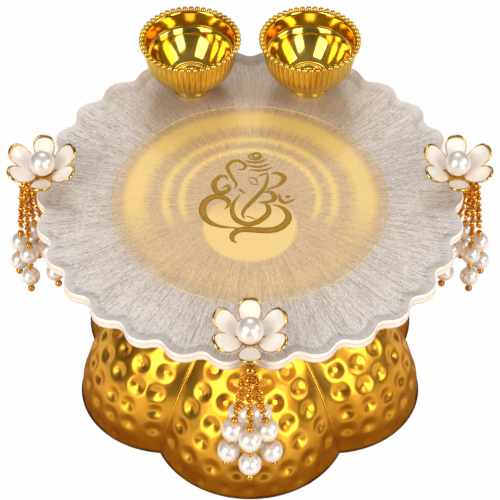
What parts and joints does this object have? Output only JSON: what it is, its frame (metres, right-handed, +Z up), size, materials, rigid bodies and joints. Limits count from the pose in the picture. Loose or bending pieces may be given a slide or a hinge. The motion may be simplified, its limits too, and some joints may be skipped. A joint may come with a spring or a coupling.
{
  "type": "puja thali",
  "caption": "Ritual tray on a lobed hammered foot: scalloped clear plate with a raised lip, fluted kumkum cups and enamelled flowers with hanging pearl tassels.",
  "frame": {"origin": "on the foot's axis, on the surface that the foot's rim stands on", "axes": "+Z up along the foot's axis, the front flower towards -Y, the right flower towards +X"},
  "size_m": [0.2396, 0.2253, 0.146],
  "materials": {
    "hammered_gold": "hammered, polished",
    "polished_gold": "polished gold plate",
    "cup_gold": "polished, fluted",
    "chain_gold": "fine bright chain",
    "clear_plate": "clear cast resin, glossy",
    "fibre_film": "silver-white radial fibres under a gloss coat",
    "white_enamel": "pearly white enamel",
    "pearl": "pearl lustre",
    "foam_tape": "foam tape"
  },
  "bodies": {
    "thali": {"base_shell": "hammered_gold", "base_cap": "polished_gold", "adhesive_pads": "foam_tape", "plate": "clear_plate", "inlay_film": "fibre_film", "flower_left_petals": "polished_gold", "flower_left_enamel": "white_enamel", "flower_left_pearl": "pearl", "flower_left_bracket": "polished_gold", "flower_right_petals": "polished_gold", "flower_right_enamel": "white_enamel", "flower_right_pearl": "pearl", "flower_right_bracket": "polished_gold", "flower_front_petals": "polished_gold", "flower_front_enamel": "white_enamel", "flower_front_pearl": "pearl", "flower_front_bracket": "polished_gold"},
    "cup_left": {"cup_left_bowl": "cup_gold", "cup_left_bead_rim": "cup_gold"},
    "cup_right": {"cup_right_bowl": "cup_gold", "cup_right_bead_rim": "cup_gold"},
    "tassel_left": {"tassel_left_hanger": "polished_gold"},
    "strand_left_1": {"tassel_left_chain_1": "chain_gold", "tassel_left_pearls_1": "pearl"},
    "strand_left_2": {"tassel_left_chain_2": "chain_gold", "tassel_left_pearls_2": "pearl"},
    "strand_left_3": {"tassel_left_chain_3": "chain_gold", "tassel_left_pearls_3": "pearl"},
    "strand_left_4": {"tassel_left_chain_4": "chain_gold", "tassel_left_pearls_4": "pearl"},
    "strand_left_5": {"tassel_left_chain_5": "chain_gold", "tassel_left_pearls_5": "pearl"},
    "tassel_right": {"tassel_right_hanger": "polished_gold"},
    "strand_right_1": {"tassel_right_chain_1": "chain_gold", "tassel_right_pearls_1": "pearl"},
    "strand_right_2": {"tassel_right_chain_2": "chain_gold", "tassel_right_pearls_2": "pearl"},
    "strand_right_3": {"tassel_right_chain_3": "chain_gold", "tassel_right_pearls_3": "pearl"},
    "strand_right_4": {"tassel_right_chain_4": "chain_gold", "tassel_right_pearls_4": "pearl"},
    "strand_right_5": {"tassel_right_chain_5": "chain_gold", "tassel_right_pearls_5": "pearl"},
    "tassel_front": {"tassel_front_hanger": "polished_gold"},
    "strand_front_1": {"tassel_front_chain_1": "chain_gold", "tassel_front_pearls_1": "pearl"},
    "strand_front_2": {"tassel_front_chain_2": "chain_gold", "tassel_front_pearls_2": "pearl"},
    "strand_front_3": {"tassel_front_chain_3": "chain_gold", "tassel_front_pearls_3": "pearl"},
    "strand_front_4": {"tassel_front_chain_4": "chain_gold", "tassel_front_pearls_4": "pearl"},
    "strand_front_5": {"tassel_front_chain_5": "chain_gold", "tassel_front_pearls_5": "pearl"}
  },
  "joints": [
    {"name": "cup_left_lift", "type": "slide", "parent": "thali", "child": "cup_left", "axis": [0, 0, 1], "range_m": [0, 0.06]},
    {"name": "cup_right_lift", "type": "slide", "parent": "thali", "child": "cup_right", "axis": [0, 0, 1], "range_m": [0, 0.06]},
    {"name": "tassel_left_swing", "type": "hinge", "parent": "thali", "child": "tassel_left", "pos_m": [-0.10468, 0.00824, 0.1195], "axis": [0.0785, 0.9969, 0], "range_deg": [-2, 45]},
    {"name": "strand_left_1_swing", "type": "hinge", "parent": "tassel_left", "child": "strand_left_1", "pos_m": [-0.10787, 0.00849, 0.1135], "axis": [0.0785, 0.9969, 0], "range_deg": [0, 15]},
    {"name": "strand_left_2_swing", "type": "hinge", "parent": "tassel_left", "child": "strand_left_2", "pos_m": [-0.1059, 0.00528, 0.1135], "axis": [-0.9239, 0.3827, 0], "range_deg": [0, 15]},
    {"name": "strand_left_3_swing", "type": "hinge", "parent": "tassel_left", "child": "strand_left_3", "pos_m": [-0.10224, 0.00616, 0.1135], "axis": [-0.6494, -0.7604, 0], "range_deg": [0, 15]},
    {"name": "strand_left_4_swing", "type": "hinge", "parent": "tassel_left", "child": "strand_left_4", "pos_m": [-0.10195, 0.00991, 0.1135], "axis": [0.5225, -0.8526, 0], "range_deg": [0, 15]},
    {"name": "strand_left_5_swing", "type": "hinge", "parent": "tassel_left", "child": "strand_left_5", "pos_m": [-0.10542, 0.01135, 0.1135], "axis": [0.9724, 0.2334, 0], "range_deg": [0, 15]},
    {"name": "tassel_right_swing", "type": "hinge", "parent": "thali", "child": "tassel_right", "pos_m": [0.10468, 0.00824, 0.1195], "axis": [0.0785, -0.9969, 0], "range_deg": [-2, 45]},
    {"name": "strand_right_1_swing", "type": "hinge", "parent": "tassel_right", "child": "strand_right_1", "pos_m": [0.10787, 0.00849, 0.1135], "axis": [0.0785, -0.9969, 0], "range_deg": [0, 15]},
    {"name": "strand_right_2_swing", "type": "hinge", "parent": "tassel_right", "child": "strand_right_2", "pos_m": [0.10542, 0.01135, 0.1135], "axis": [0.9724, -0.2334, 0], "range_deg": [0, 15]},
    {"name": "strand_right_3_swing", "type": "hinge", "parent": "tassel_right", "child": "strand_right_3", "pos_m": [0.10195, 0.00991, 0.1135], "axis": [0.5225, 0.8526, 0], "range_deg": [0, 15]},
    {"name": "strand_right_4_swing", "type": "hinge", "parent": "tassel_right", "child": "strand_right_4", "pos_m": [0.10224, 0.00616, 0.1135], "axis": [-0.6494, 0.7604, 0], "range_deg": [0, 15]},
    {"name": "strand_right_5_swing", "type": "hinge", "parent": "tassel_right", "child": "strand_right_5", "pos_m": [0.1059, 0.00528, 0.1135], "axis": [-0.9239, -0.3827, 0], "range_deg": [0, 15]},
    {"name": "tassel_front_swing", "type": "hinge", "parent": "thali", "child": "tassel_front", "pos_m": [0, -0.105, 0.1195], "axis": [-1, 0, 0], "range_deg": [-2, 45]},
    {"name": "strand_front_1_swing", "type": "hinge", "parent": "tassel_front", "child": "strand_front_1", "pos_m": [0, -0.1082, 0.1135], "axis": [-1, 0, 0], "range_deg": [0, 15]},
    {"name": "strand_front_2_swing", "type": "hinge", "parent": "tassel_front", "child": "strand_front_2", "pos_m": [0.00304, -0.10599, 0.1135], "axis": [-0.309, -0.9511, 0], "range_deg": [0, 15]},
    {"name": "strand_front_3_swing", "type": "hinge", "parent": "tassel_front", "child": "strand_front_3", "pos_m": [0.00188, -0.10241, 0.1135], "axis": [0.809, -0.5878, 0], "range_deg": [0, 15]},
    {"name": "strand_front_4_swing", "type": "hinge", "parent": "tassel_front", "child": "strand_front_4", "pos_m": [-0.00188, -0.10241, 0.1135], "axis": [0.809, 0.5878, 0], "range_deg": [0, 15]},
    {"name": "strand_front_5_swing", "type": "hinge", "parent": "tassel_front", "child": "strand_front_5", "pos_m": [-0.00304, -0.10599, 0.1135], "axis": [-0.309, 0.9511, 0], "range_deg": [0, 15]}
  ]
}
